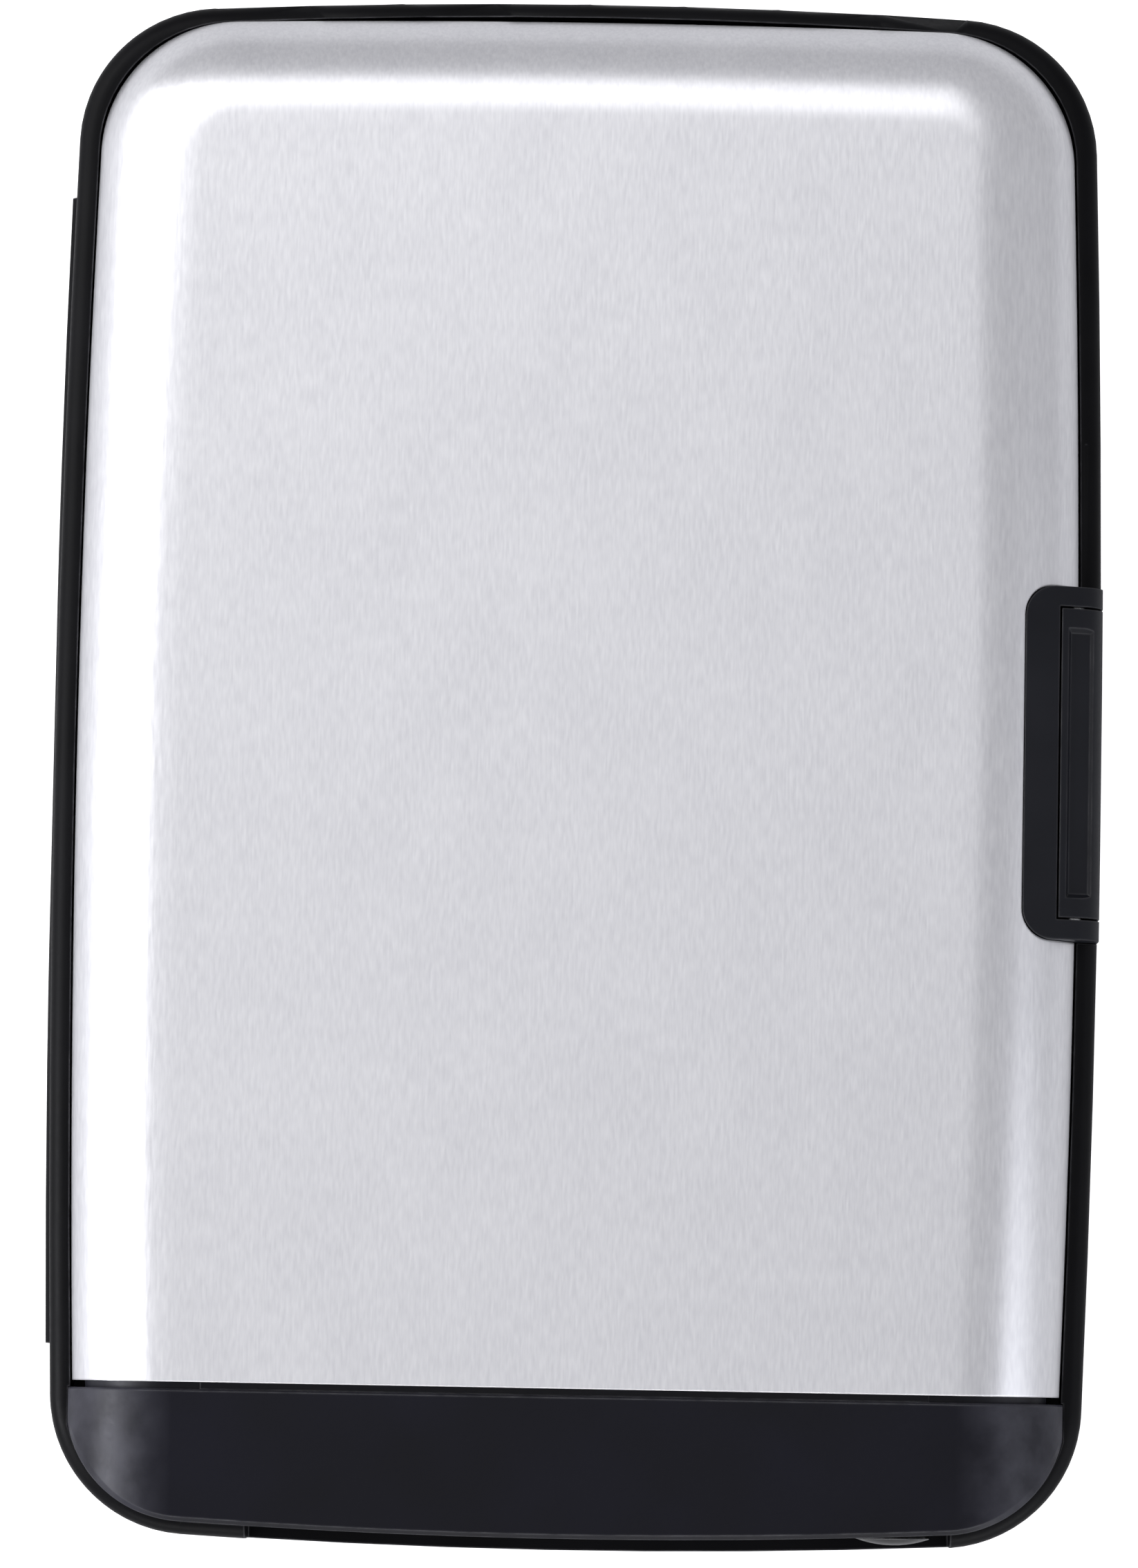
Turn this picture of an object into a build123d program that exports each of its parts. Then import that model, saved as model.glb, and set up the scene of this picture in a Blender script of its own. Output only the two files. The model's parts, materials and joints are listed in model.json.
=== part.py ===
from build123d import *
import os

os.makedirs("parts", exist_ok=True)

# The wallet lies closed on its rear face. X runs from the hinge to the latch, Y along the
# length with the ports at the low end, Z through the thickness. Millimetres throughout.
# Closed case
case_length = 112.6
case_width = 75.8
corner_radius = 10.2
side_bow = 1.08
end_bow = 1.3
parting_gap = 0.2

# Clearances and the overrun shared by every cut
seat_clearance = 0.06
running_clearance = 0.05
button_clearance = 0.15
swing_clearance = 0.15
cut_overrun = 1.0

# Domed sheet shells
sheet_thickness = 0.8
dome_radius = 8.5
dome_overhang = 0.9
shell_side_inset = 1.6
shell_end_inset = 1.25
shell_corner_radius = 9.6

# Moulded end caps
cap_length = 11.5
cap_gap = 0.35
cap_flank_inset = 2.2
cap_side_inset = 1.1
cap_end_inset = 1.0
cap_wall = 1.3
cap_edge_chamfer = 0.3
cap_lip_chamfer = 0.15
tongue_side_gap = 9.7
tongue_length = 2.3
tongue_thickness = 0.7

# Moulded frames
frame_wall = 3.8
frame_rise = 6.8
ledge_rise = 3.5
shoulder_radius = 1.3
parting_chamfer = 0.25

# Hinge
hinge_inset = 2.35
hinge_radius = 2.9
hinge_proud = 0.6
knuckle_end_inset = 14.3
ear_gap = 0.2
ear_margin = 0.9
hinge_pin_radius = 0.8
hinge_pin_cover = 0.3
hinge_pin_end_gap = 0.2

# Latch block, button and catch
latch_centre = 0.85
latch_length = 25.6
latch_window_depth = 5.8
latch_window_radius = 2.2
latch_crown = 0.75
latch_fall = 2.2
latch_edge_radius = 2.4
bridge_inset = 4.6
bridge_thickness = 1.3
bridge_margin = 1.4
button_length = 22.3
button_depth = 3.1
button_wall = 1.6
button_foot_gap = 0.5
dish_side_margin = 0.45
dish_end_margin = 1.4
dish_depth = 0.4
dish_wall_angle = 40
latch_pivot_inset = 2.0
latch_pivot_drop = 3.7
latch_pin_radius = 0.6
latch_pin_seat = 1.0
pivot_boss_radius = 1.2
hook_length = 10.0
hook_thickness = 1.2
hook_inset = 1.1
hook_reach = 2.8
hook_root = 3.0
barb_height = 0.9
barb_reach = 0.15
catch_depth = 3.4
catch_length = 16.0
catch_inset = 4.5
catch_floor = 0.3
mouth_gap = 0.2
mouth_height = 1.6
undercut = 0.2
hook_swing = 1.3
leaf_thickness = 0.2
leaf_length = 14.0
leaf_height = 2.0
leaf_base = 0.4
leaf_gap = 0.1

# Accordion of card pockets
pocket_count = 7
leaf_sheet = 0.4
accordion_low = 2.3
accordion_end_inset = 6.1
accordion_hinge_inset = 8.1
accordion_latch_inset = 7.1
accordion_corner = 6.0
spine_corner = 3.0
thumb_notch_width = 24.0
thumb_notch_depth = 4.5
pleat_depth = 6.5
spine_depth = 2.0
fold_thickness = 0.2

# Cover plate, battery and tapes
cover_thickness = 1.0
cover_clearance = 0.15
battery_side_inset = 12.9
battery_far_inset = 17.3
battery_board_gap = 5.6
battery_floor_gap = 1.4
battery_corner = 1.2
battery_chamfer = 0.6
tape_thickness = 0.3
tape_margin = 4.0
lead_radius = 0.45
lead_sides = 8
lead_spacing = 2.0
lead_bend = 1.2
lead_start_x = -6.0
lead_shift = 9.0
lead_turn_shares = (0.7, 0.35)

# Circuit board and what stands on it
board_thickness = 0.8
board_side_gap = 8.7
board_end_inset = 4.3
board_length = 13.4
board_corner = 1.5
boss_radius = 1.5
board_screw_inset = 3.0
cover_screw_inset = 6.3
screw_setback = 5.0
screw_radius = 0.7
screw_head_radius = 1.25
screw_head_height = 0.6
screw_recess_radius = 0.55
hex_sides = 6
thread_length = 2.6
port_row_low_inset = 5.45
port_row_high_inset = 0.5
port_gap_count = 3
usb_width = 13.1
usb_height = 5.7
usb_floor_gap = 0.15
usb_roof_gap = 0.35
usb_depth = 13.5
usb_sheet = 0.35
usb_radius = 0.6
usb_tongue_margin = 1.0
usb_tongue_thickness = 1.84
usb_tongue_lift = 0.7
usb_tongue_setback = 1.2
usb_contact_width = 1.0
usb_contact_pitch = 2.25
usb_contact_thickness = 0.2
usb_contact_count = 4
micro_width = 7.5
micro_height = 2.6
micro_depth = 5.4
micro_sheet = 0.25
micro_bevel = 0.9
micro_window_radius = 0.3
micro_tongue_margin = 1.55
micro_tongue_thickness = 0.6
port_setback = 0.2
port_clearance = 0.2
led_pitch = 2.1
led_count = 4
led_size = 1.2
led_height = 0.6
pipe_radius = 0.55
pipe_bar_height = 1.6
pipe_bar_thickness = 0.9
power_radius = 2.65
power_proud = 0.65
power_crown = 0.45
power_flange_radius = 2.9
power_flange_thickness = 0.6
power_stem_radius = 1.0
power_travel = 0.4
switch_width = 6.0
switch_depth = 2.0
switch_height = 3.5
switch_setback = 1.2
plug_width = 6.0
plug_depth = 3.6
plug_height = 2.8
chip_size = 5.0
chip_height = 0.9
chip_x = 12.0
chip_setback = 7.5
coil_size = 6.0
coil_height = 2.8
coil_corner = 1.0
coil_gap = 1.95
coil_setback = 6.7
capacitor_length = 1.6
capacitor_width = 0.8
capacitor_pitch = 2.6
capacitor_count = 3
capacitor_gap = 1.6
capacitor_setback = 3.2
relief_margin = 1.3
relief_height = 1.7

# Heights and places worked out from the driving dimensions
half_width = case_width / 2
half_length = case_length / 2
bay_height = usb_floor_gap + usb_height + usb_roof_gap
parting_height = ledge_rise + cover_thickness + bay_height + cap_wall
case_height = 2 * parting_height
parting_plane = Plane.XY.offset(parting_height)
front_base = parting_height + parting_gap / 2
frame_top = parting_height + frame_rise
ledge_height = parting_height + ledge_rise
hinge_x = hinge_inset - half_width
knuckle_half = half_length - knuckle_end_inset
ear_start = knuckle_half + ear_gap
corner_side = corner_radius - hinge_inset + side_bow
corner_rise = (corner_radius ** 2 - corner_side ** 2) ** 0.5
corner_start = half_length - end_bow - corner_radius
ear_end = corner_start + corner_rise + ear_margin
pin_side = corner_side + hinge_pin_radius + hinge_pin_cover
pin_socket_end = corner_start + (corner_radius ** 2 - pin_side ** 2) ** 0.5
shell_corner = shell_corner_radius + (shell_side_inset + shell_end_inset) / 2
cap_half_width = half_width - cap_flank_inset
cut_y = cap_length - half_length
cap_front_y = cut_y - cap_gap
end_wall_y = cap_end_inset - half_length
cap_inner_top = case_height - cap_wall
shell_inner_top = case_height - sheet_thickness
cover_top = ledge_height + cover_thickness
latch_low_y = latch_centre - latch_length / 2
latch_high_y = latch_centre + latch_length / 2
button_low_y = latch_centre - button_length / 2
button_high_y = latch_centre + button_length / 2
button_x = half_width - button_depth
pivot_x = half_width - latch_pivot_inset
pivot_z = case_height - latch_pivot_drop
bridge_x = half_width - bridge_inset + bridge_thickness
hook_x = half_width - hook_inset - hook_thickness
hook_tip = parting_height - hook_reach
port_height = cover_top + usb_floor_gap + usb_height / 2
board_top = port_height - micro_height / 2
board_low = board_top - board_thickness
board_half_width = cap_half_width - board_side_gap
board_low_y = board_end_inset - half_length
board_high_y = board_low_y + board_length
board_screw_x = board_half_width - board_screw_inset
cover_screw_x = cap_half_width - cover_screw_inset
screw_y = board_low_y + screw_setback
led_row = led_pitch * (led_count - 1) + 2 * pipe_radius
row_low_x = port_row_low_inset - board_half_width
row_high_x = board_half_width - port_row_high_inset
row_width = usb_width + micro_width + led_row + 2 * power_flange_radius
port_gap = (row_high_x - row_low_x - row_width) / port_gap_count
usb_x = row_low_x + usb_width / 2
micro_x = usb_x + (usb_width + micro_width) / 2 + port_gap
led_x = micro_x + micro_width / 2 + port_gap + pipe_radius
power_x = row_high_x - power_flange_radius
accordion_half_length = half_length - accordion_end_inset
accordion_hinge_x = accordion_hinge_inset - half_width
accordion_latch_x = half_width - accordion_latch_inset
sheet_pitch = (ledge_height - leaf_sheet - accordion_low) / pocket_count


def case_plan(side_inset, end_inset, corner=corner_radius):
    """Outline of the case seen from the front: four bowed sides and round corners."""
    half_x = half_width - side_inset
    half_y = half_length - end_inset
    corner_x = half_x - side_bow
    corner_y = half_y - end_bow
    with BuildSketch() as plan:
        with BuildLine():
            ThreePointArc((corner_x, -corner_y), (half_x, 0), (corner_x, corner_y))
            ThreePointArc((corner_x, corner_y), (0, half_y), (-corner_x, corner_y))
            ThreePointArc((-corner_x, corner_y), (-half_x, 0), (-corner_x, -corner_y))
            ThreePointArc((-corner_x, -corner_y), (0, -half_y), (corner_x, -corner_y))
        make_face()
        fillet(plan.vertices(), corner - (side_inset + end_inset) / 2)
    return plan.sketch


def plan_prism(side_inset, end_inset, low_z, high_z, corner=corner_radius):
    with BuildPart() as prism:
        with BuildSketch(Plane.XY.offset(low_z)):
            add(case_plan(side_inset, end_inset, corner))
        extrude(amount=high_z - low_z)
    return prism.part


def bar(low_x, high_x, low_y, high_y, low_z, high_z):
    with BuildPart() as block:
        with BuildSketch(Plane.XY.offset(low_z)):
            with Locations(((low_x + high_x) / 2, (low_y + high_y) / 2)):
                Rectangle(high_x - low_x, high_y - low_y)
        extrude(amount=high_z - low_z)
    return block.part


def rod(x, z, radius, low_y, high_y):
    """Round bar along Y."""
    with BuildPart() as cylinder:
        with BuildSketch(Plane.XZ.offset(-high_y)):
            with Locations((x, z)):
                Circle(radius)
        extrude(amount=high_y - low_y)
    return cylinder.part


def post(x, y, radius, low_z, high_z):
    """Round bar along Z."""
    with BuildPart() as cylinder:
        with BuildSketch(Plane.XY.offset(low_z)):
            with Locations((x, y)):
                Circle(radius)
        extrude(amount=high_z - low_z)
    return cylinder.part


# Shells
def domed_block(inset):
    """Solid dome over the shell's outline, drawn in by inset on every side and on top."""
    top = case_height - inset
    side = shell_side_inset + inset
    end = shell_end_inset + inset
    with BuildPart() as block:
        with BuildSketch(Plane.XY.offset(parting_height)):
            add(case_plan(side - dome_overhang, end - dome_overhang, shell_corner))
        extrude(amount=top - parting_height)
        fillet(block.faces().sort_by(Axis.Z)[-1].edges(), dome_radius - inset)
        with BuildSketch(Plane.XY.offset(ledge_height)):
            add(case_plan(side, end, shell_corner))
        extrude(amount=top - ledge_height, mode=Mode.INTERSECT)
    return block.part


def shell_half():
    with BuildPart() as skin:
        add(domed_block(0))
        add(domed_block(sheet_thickness), mode=Mode.SUBTRACT)
        add(bar(-half_width, half_width, -half_length, cut_y, front_base, case_height + cut_overrun),
            mode=Mode.SUBTRACT)
    return skin.part


def latch_plan(inset):
    """Plan of the latch block, open towards the case's edge."""
    width = 2 * latch_window_depth
    with BuildSketch() as plan:
        with Locations((half_width, latch_centre)):
            RectangleRounded(width - 2 * inset, latch_length - 2 * inset, latch_window_radius)
    return plan.sketch


with BuildPart() as front_shell:
    add(shell_half())
    with BuildSketch(Plane.XY.offset(front_base)):
        add(latch_plan(0))
    extrude(amount=case_height - front_base + cut_overrun, mode=Mode.SUBTRACT)

with BuildPart() as rear_shell:
    mirror(shell_half(), about=parting_plane)


# End caps
window_back_y = end_wall_y + cap_wall + end_bow


def wall_y(x):
    """Place of the bowed end wall's outer face at x."""
    return end_wall_y + end_bow * (x / (half_width - cap_side_inset - side_bow)) ** 2


def cap_profile(inset):
    """Section of the end cap across the case, rolled like the shell at both sides."""
    high = case_height - inset
    middle = (parting_height + high) / 2
    with BuildSketch(Plane.XZ) as profile:
        with Locations((0, middle)):
            Rectangle(2 * (cap_half_width + dome_overhang - inset), high - parting_height)
        fillet(profile.vertices().group_by(Axis.Y)[-1], dome_radius - inset)
        with Locations((0, middle)):
            Rectangle(2 * (cap_half_width - inset), high - parting_height, mode=Mode.INTERSECT)
    return profile.sketch


def cap_block(inset, front_y):
    with BuildPart() as block:
        with BuildSketch(Plane.XZ.offset(-front_y)):
            add(cap_profile(inset))
        extrude(amount=half_length + front_y)
        with BuildSketch(Plane.XY.offset(ledge_height)):
            add(case_plan(cap_side_inset + inset, cap_end_inset + inset))
        extrude(amount=case_height, mode=Mode.INTERSECT)
    return block.part


def cap_half():
    with BuildPart() as cap:
        add(cap_block(0, cap_front_y))
        upper = cap.edges().filter_by(lambda edge: edge.center().Z > frame_top)
        end = upper.filter_by(lambda edge: edge.center().Y < cap_front_y - cap_edge_chamfer)
        chamfer(end.filter_by(GeomType.LINE, reverse=True), cap_edge_chamfer)
        upper = cap.edges().filter_by(lambda edge: edge.center().Z > frame_top)
        chamfer(upper.group_by(Axis.Y)[-1], cap_lip_chamfer)
        add(cap_block(cap_wall, cap_front_y + cut_overrun), mode=Mode.SUBTRACT)
        tongue_top = shell_inner_top - seat_clearance
        tongue_half_width = cap_half_width - tongue_side_gap
        add(bar(-tongue_half_width, tongue_half_width, cap_front_y - cap_wall,
                cap_front_y + tongue_length, tongue_top - tongue_thickness, tongue_top))
    return cap.part


def opening(x, z, width, height, radius):
    """Port window through the end wall."""
    with BuildPart() as window:
        with BuildSketch(Plane.XZ.offset(-window_back_y)):
            with Locations((x, z)):
                RectangleRounded(width, height, radius)
        extrude(amount=half_length + window_back_y)
    return window.part


led_places = [led_x + led_pitch * index for index in range(led_count)]

with BuildPart() as front_end_cap:
    add(cap_half())
    for side in (-1, 1):
        add(post(side * board_screw_x, screw_y, boss_radius, board_top, cap_inner_top))
        add(post(side * cover_screw_x, screw_y, boss_radius, cover_top, cap_inner_top))
        add(post(side * board_screw_x, screw_y, screw_radius, board_top,
                 board_top + thread_length), mode=Mode.SUBTRACT)
        add(post(side * cover_screw_x, screw_y, screw_radius, cover_top,
                 cover_top + thread_length), mode=Mode.SUBTRACT)
    add(opening(usb_x, port_height, usb_width + port_clearance, usb_height + port_clearance,
                usb_radius), mode=Mode.SUBTRACT)
    add(opening(micro_x, port_height, micro_width + port_clearance, micro_height + port_clearance,
                micro_window_radius), mode=Mode.SUBTRACT)
    for x in led_places:
        add(rod(x, port_height, pipe_radius + running_clearance, -half_length, window_back_y),
            mode=Mode.SUBTRACT)
    add(rod(power_x, port_height, power_radius + button_clearance, -half_length, window_back_y),
        mode=Mode.SUBTRACT)

with BuildPart() as rear_end_cap:
    mirror(cap_half(), about=parting_plane)


# Frames
def frame_ring():
    """L-section ring: a thick foot at the parting line and a lip around the shell."""
    with BuildPart() as ring:
        with BuildSketch(Plane.XY.offset(front_base)):
            add(case_plan(0, 0))
        extrude(amount=frame_top - front_base)
        fillet(ring.faces().sort_by(Axis.Z)[-1].edges(), shoulder_radius)
        chamfer(ring.faces().sort_by(Axis.Z)[0].edges(), parting_chamfer)
        add(plan_prism(frame_wall, frame_wall, front_base - cut_overrun, frame_top + cut_overrun),
            mode=Mode.SUBTRACT)
        add(plan_prism(shell_side_inset - seat_clearance, shell_end_inset - seat_clearance,
                       ledge_height, frame_top + cut_overrun, shell_corner), mode=Mode.SUBTRACT)
        add(cap_seat, mode=Mode.SUBTRACT)
    return ring.part


with BuildPart() as cap_seat_block:
    add(plan_prism(cap_side_inset - seat_clearance, cap_end_inset - seat_clearance,
                   ledge_height, frame_top + cut_overrun))
    add(bar(-cap_half_width - seat_clearance, cap_half_width + seat_clearance, -half_length,
            cap_front_y + seat_clearance, ledge_height, frame_top + cut_overrun),
        mode=Mode.INTERSECT)
cap_seat = cap_seat_block.part


def hinge_barrel(low_y, high_y, proud):
    """Hinge barrel whose outer side follows the bowed outline of the case."""
    with BuildPart() as barrel:
        add(rod(hinge_x, parting_height, hinge_radius, low_y, high_y))
        add(plan_prism(-proud, -proud, parting_height - hinge_radius, parting_height + hinge_radius),
            mode=Mode.INTERSECT)
    return barrel.part


def hinge_trough(low_y, high_y):
    return rod(hinge_x, parting_height, hinge_radius + swing_clearance, low_y, high_y)


with BuildPart() as port_relief:
    add(bar(row_low_x - relief_margin, row_high_x + relief_margin, -half_length - cut_overrun,
            cap_front_y, front_base + relief_height, frame_top + cut_overrun))
    add(plan_prism(cap_side_inset - seat_clearance, cap_end_inset - seat_clearance,
                   front_base, frame_top + 2 * cut_overrun), mode=Mode.SUBTRACT)

with BuildPart() as front_frame:
    add(frame_ring())
    add(bar(half_width - bridge_inset, half_width - bridge_inset / 2, latch_low_y - bridge_margin,
            latch_high_y + bridge_margin, front_base, ledge_height))
    add(hinge_trough(-ear_start, ear_start), mode=Mode.SUBTRACT)
    for low_y in (-ear_end, ear_start):
        add(hinge_barrel(low_y, low_y + ear_end - ear_start, 0))
    add(rod(hinge_x, parting_height, hinge_pin_radius + running_clearance, -pin_socket_end,
            pin_socket_end), mode=Mode.SUBTRACT)
    add(bar(bridge_x, half_width + cut_overrun, latch_low_y, latch_high_y,
            front_base - cut_overrun, frame_top + cut_overrun), mode=Mode.SUBTRACT)
    add(port_relief.part, mode=Mode.SUBTRACT)

catch_low_y = latch_centre - catch_length / 2
catch_high_y = latch_centre + catch_length / 2
catch_x = half_width - catch_inset
rear_top = parting_height - parting_gap / 2
catch_base = rear_top - catch_depth

with BuildPart() as rear_frame:
    mirror(frame_ring(), about=parting_plane)
    for low_y in (-ear_end - ear_gap, knuckle_half):
        add(hinge_trough(low_y, low_y + ear_end - knuckle_half + ear_gap), mode=Mode.SUBTRACT)
    add(hinge_barrel(-knuckle_half, knuckle_half, hinge_proud))
    add(rod(hinge_x, parting_height, hinge_pin_radius + running_clearance / 2,
            -knuckle_half - cut_overrun, knuckle_half + cut_overrun), mode=Mode.SUBTRACT)
    add(bar(catch_x, half_width + cut_overrun, catch_low_y - seat_clearance,
            catch_high_y + seat_clearance, catch_base, rear_top + cut_overrun), mode=Mode.SUBTRACT)

with BuildPart() as hinge_pin:
    add(rod(hinge_x, parting_height, hinge_pin_radius, hinge_pin_end_gap - pin_socket_end,
            pin_socket_end - hinge_pin_end_gap))
    chamfer(hinge_pin.edges().filter_by(GeomType.CIRCLE), hinge_pin_end_gap)


# Latch
def latch_section(inset, low_x, low_z):
    """Section of the latch block's outer side, from low_x out to the case's edge."""
    high = case_height - latch_crown - inset
    inner_x = half_width - latch_window_depth
    slope = latch_fall / latch_window_depth
    with BuildSketch(Plane.XZ) as section:
        with BuildLine():
            Polyline((low_x, low_z), (low_x, high - slope * (low_x - inner_x)),
                     (half_width - inset, high - slope * (latch_window_depth - inset)),
                     (half_width - inset, low_z), close=True)
        make_face()
        fillet(section.vertices().sort_by(Axis.X)[-2:].sort_by(Axis.Y)[-1], latch_edge_radius - inset)
    return section.sketch


def latch_block(section, low_y, high_y):
    """Section extruded along the case's edge and trimmed to its bowed outline."""
    with BuildPart() as block:
        with BuildSketch(Plane.XZ.offset(-high_y)):
            add(section)
        extrude(amount=high_y - low_y)
        add(plan_prism(0, 0, hook_tip - cut_overrun, case_height), mode=Mode.INTERSECT)
    return block.part


bezel_base = cover_top + seat_clearance
bezel_foot_x = bridge_x + seat_clearance
bezel_inner_x = half_width - latch_window_depth + seat_clearance
cavity_low_y = button_low_y - button_clearance
cavity_high_y = button_high_y + button_clearance
pin_low_y = cavity_low_y - latch_pin_seat
pin_high_y = cavity_high_y + latch_pin_seat

with BuildPart() as latch_bezel:
    add(latch_block(latch_section(0, bezel_inner_x, front_base), latch_low_y, latch_high_y))
    with BuildSketch(Plane.XY.offset(front_base)):
        add(latch_plan(seat_clearance))
    extrude(amount=case_height - front_base, mode=Mode.INTERSECT)
    add(bar(bezel_inner_x - cut_overrun, bezel_foot_x, latch_low_y, latch_high_y,
            front_base - cut_overrun, bezel_base), mode=Mode.SUBTRACT)
    add(bar(button_x - button_clearance, half_width + cut_overrun, cavity_low_y, cavity_high_y,
            front_base - cut_overrun, case_height), mode=Mode.SUBTRACT)
    add(rod(pivot_x, pivot_z, latch_pin_radius + running_clearance / 2, pin_low_y, pin_high_y),
        mode=Mode.SUBTRACT)

with BuildPart() as latch_pin:
    add(rod(pivot_x, pivot_z, latch_pin_radius, pin_low_y + running_clearance,
            pin_high_y - running_clearance))

hook_outer_x = hook_x + hook_thickness
barb_x = hook_outer_x + barb_reach
hook_low_y = latch_centre - hook_length / 2
hook_high_y = latch_centre + hook_length / 2
button_foot = front_base + button_foot_gap

dish_x = button_x + button_depth / 2
dish_drop = latch_fall * (dish_x - half_width + latch_window_depth) / latch_window_depth
dish_z = case_height - latch_crown - dish_drop
dish_plane = Plane(origin=(dish_x, latch_centre, dish_z), x_dir=(latch_window_depth, 0, -latch_fall),
                   z_dir=(-latch_fall, 0, -latch_window_depth))

with BuildPart() as latch_button:
    add(latch_block(latch_section(0, button_x, button_foot), button_low_y, button_high_y))
    add(bar(button_x - cut_overrun, half_width - button_wall, button_low_y, button_high_y,
            button_foot - cut_overrun, pivot_z), mode=Mode.SUBTRACT)
    add(rod(pivot_x, pivot_z, pivot_boss_radius, button_low_y, button_high_y))
    with BuildSketch(Plane.XZ.offset(-hook_high_y)):
        with BuildLine():
            Polyline((hook_x, front_base + hook_root), (hook_x, hook_tip + barb_reach),
                     (hook_x + barb_reach, hook_tip), (hook_outer_x - barb_reach, hook_tip),
                     (barb_x, hook_tip + barb_height - barb_reach), (barb_x, hook_tip + barb_height),
                     (hook_outer_x, hook_tip + barb_height), (hook_outer_x, front_base + hook_root),
                     close=True)
        make_face()
    extrude(amount=hook_length)
    with BuildSketch(dish_plane):
        Rectangle(button_depth - 2 * dish_side_margin, button_length - 2 * dish_end_margin)
    extrude(amount=dish_depth, taper=dish_wall_angle, mode=Mode.SUBTRACT)
    add(rod(pivot_x, pivot_z, latch_pin_radius + running_clearance, button_low_y - cut_overrun,
            button_high_y + cut_overrun), mode=Mode.SUBTRACT)

leaf_low_x = button_x - button_clearance + leaf_gap
leaf_high_x = half_width - button_wall - leaf_gap

with BuildPart() as latch_leaf_spring:
    with BuildSketch(Plane.XY.offset(cover_top + leaf_base)):
        with BuildLine():
            ThreePointArc((leaf_low_x, latch_centre - leaf_length / 2), (leaf_high_x, latch_centre),
                          (leaf_low_x, latch_centre + leaf_length / 2))
            ThreePointArc((leaf_low_x, latch_centre + leaf_length / 2 - leaf_thickness),
                          (leaf_high_x - leaf_thickness, latch_centre),
                          (leaf_low_x, latch_centre - leaf_length / 2 + leaf_thickness))
            Line((leaf_low_x, latch_centre - leaf_length / 2),
                 (leaf_low_x, latch_centre - leaf_length / 2 + leaf_thickness))
            Line((leaf_low_x, latch_centre + leaf_length / 2),
                 (leaf_low_x, latch_centre + leaf_length / 2 - leaf_thickness))
        make_face()
    extrude(amount=leaf_height)

mouth_x = barb_x + mouth_gap
slot_low_x = hook_x - hook_swing

with BuildPart() as catch_block:
    add(bar(catch_x + seat_clearance, half_width, catch_low_y, catch_high_y,
            catch_base + seat_clearance, rear_top))
    add(plan_prism(0, 0, catch_base, rear_top), mode=Mode.INTERSECT)
    add(bar(slot_low_x, mouth_x, hook_low_y - mouth_gap, hook_high_y + mouth_gap,
            catch_base + catch_floor, rear_top + cut_overrun), mode=Mode.SUBTRACT)
    add(bar(slot_low_x, mouth_x + undercut, hook_low_y - mouth_gap, hook_high_y + mouth_gap,
            catch_base + catch_floor, rear_top - mouth_height), mode=Mode.SUBTRACT)


# Accordion of pockets
def sheet_low(index):
    return accordion_low + sheet_pitch * index


def pocket_sheet(index, notched):
    with BuildPart() as sheet:
        with BuildSketch(Plane.XY.offset(sheet_low(index))) as plan:
            with Locations(((accordion_hinge_x + accordion_latch_x) / 2, 0)):
                Rectangle(accordion_latch_x - accordion_hinge_x, 2 * accordion_half_length)
            fillet(plan.vertices().group_by(Axis.X)[-1], accordion_corner)
            fillet(plan.vertices().group_by(Axis.X)[0], spine_corner)
            if notched:
                with Locations((accordion_latch_x, latch_centre)):
                    Ellipse(thumb_notch_depth, thumb_notch_width / 2, mode=Mode.SUBTRACT)
        extrude(amount=leaf_sheet)
    return sheet.part


def fold_section(edge, depth):
    """One V fold between each pair of sheets, drawn in from edge by depth."""
    gap = sheet_pitch - leaf_sheet
    crease = depth * (gap - 2 * fold_thickness) / gap
    with BuildSketch() as folds:
        for index in range(pocket_count):
            low = sheet_low(index) + leaf_sheet
            high = low + gap
            middle = (low + high) / 2
            with BuildLine():
                Polyline((edge, low), (edge - depth, middle), (edge, high),
                         (edge, high - fold_thickness), (edge - crease, middle),
                         (edge, low + fold_thickness), close=True)
            make_face()
    return folds.sketch


pleat_low_x = accordion_hinge_x + spine_corner
pleat_high_x = accordion_latch_x - accordion_corner
spine_half = accordion_half_length - pleat_depth - cover_clearance

with BuildPart() as pleats_top:
    with BuildSketch(Plane.YZ.offset(pleat_low_x)):
        add(fold_section(accordion_half_length, pleat_depth))
    extrude(amount=pleat_high_x - pleat_low_x)

with BuildPart() as pleats_bottom:
    mirror(pleats_top.part, about=Plane.XZ)

with BuildPart() as spine_folds:
    with BuildSketch(Plane.XZ.offset(-spine_half)):
        add(fold_section(accordion_hinge_x, -spine_depth))
    extrude(amount=2 * spine_half)

# Cover plate over the battery and the board
bay_half_width = cap_half_width - cap_wall - cover_clearance
plate_front_y = cap_front_y + cover_clearance

with BuildPart() as cover_bay:
    add(plan_prism(cap_side_inset + cap_wall + cover_clearance,
                   cap_end_inset + cap_wall + cover_clearance, ledge_height, cover_top))
    add(bar(-bay_half_width, bay_half_width, -half_length, plate_front_y, ledge_height, cover_top),
        mode=Mode.INTERSECT)

with BuildPart() as battery_cover:
    add(plan_prism(shell_side_inset + sheet_thickness + cover_clearance,
                   shell_end_inset + sheet_thickness + cover_clearance, ledge_height, cover_top,
                   shell_corner))
    add(bar(-half_width, half_width, -half_length, plate_front_y, ledge_height - cut_overrun,
            cover_top + cut_overrun), mode=Mode.SUBTRACT)
    add(cover_bay.part)
    add(bar(bridge_x, half_width, latch_low_y, latch_high_y, ledge_height - cut_overrun,
            cover_top + cut_overrun), mode=Mode.SUBTRACT)
    for side in (-1, 1):
        add(post(side * cover_screw_x, screw_y, screw_radius + running_clearance,
                 ledge_height - cut_overrun, cover_top + cut_overrun), mode=Mode.SUBTRACT)
        add(post(side * cover_screw_x, screw_y, screw_head_radius + running_clearance,
                 ledge_height - cut_overrun, ledge_height + screw_head_height), mode=Mode.SUBTRACT)


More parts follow.
